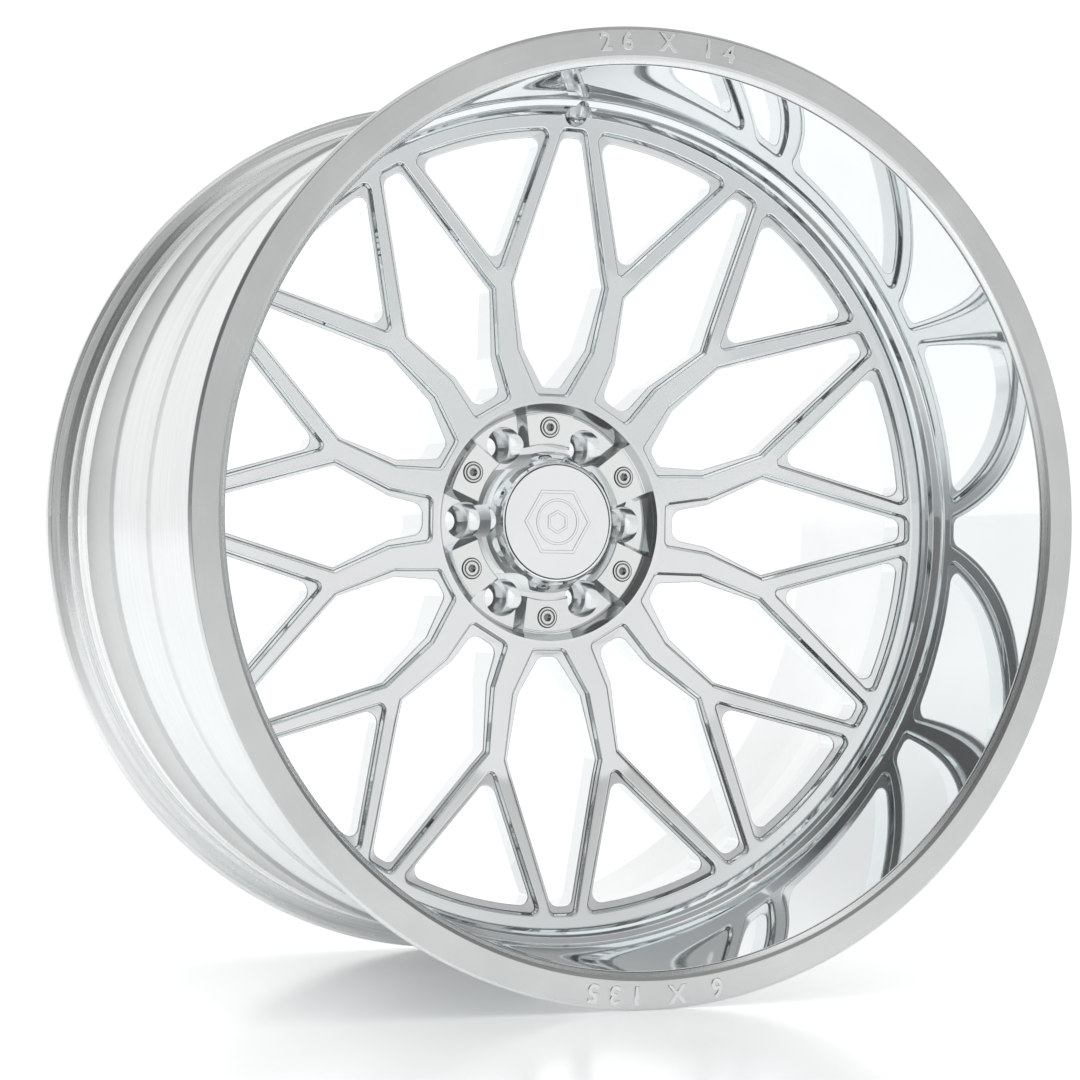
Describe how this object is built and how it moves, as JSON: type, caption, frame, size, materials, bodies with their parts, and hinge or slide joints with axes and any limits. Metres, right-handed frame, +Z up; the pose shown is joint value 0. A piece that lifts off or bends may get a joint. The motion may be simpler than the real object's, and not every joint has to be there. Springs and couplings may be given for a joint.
{
  "type": "forged racing wheel rim",
  "caption": "Deep-dish forged wheel rim with forked spokes, a recessed lug hub, screwed pads and a push-in centre cap.",
  "frame": {"origin": "on the wheel axis, in the middle of the rim's overall width", "axes": "+Z up, wheel axis along Y, show face toward -Y, mounting pad toward +Y, valve at the top (+Z)"},
  "size_m": [0.6954, 0.3826, 0.6954],
  "materials": {
    "polished_forging": "mirror polished, brushed on the lip face and outer barrel",
    "chrome_cap": "mirror",
    "satin_disc": "satin",
    "screw_steel": "satin",
    "spring_steel": "satin",
    "seal_rubber": "matte"
  },
  "bodies": {
    "wheel": {"rim_barrel": "polished_forging", "hub_centre": "polished_forging", "spoke_01": "polished_forging", "spoke_02": "polished_forging", "spoke_03": "polished_forging", "spoke_04": "polished_forging", "spoke_05": "polished_forging", "spoke_06": "polished_forging", "spoke_07": "polished_forging", "spoke_08": "polished_forging", "spoke_09": "polished_forging", "spoke_10": "polished_forging", "spoke_11": "polished_forging", "spoke_12": "polished_forging", "pad_screw_1": "screw_steel", "pad_screw_2": "screw_steel", "pad_screw_3": "screw_steel", "pad_screw_4": "screw_steel", "pad_screw_5": "screw_steel", "pad_screw_6": "screw_steel"},
    "cap": {"centre_cap": "chrome_cap", "cap_disc": "satin_disc", "cap_seal": "seal_rubber", "cap_retaining_ring": "spring_steel"}
  },
  "joints": [
    {"name": "cap_pull", "type": "slide", "parent": "wheel", "child": "cap", "axis": [0, -1, 0], "range_m": [0, 0.06]}
  ]
}
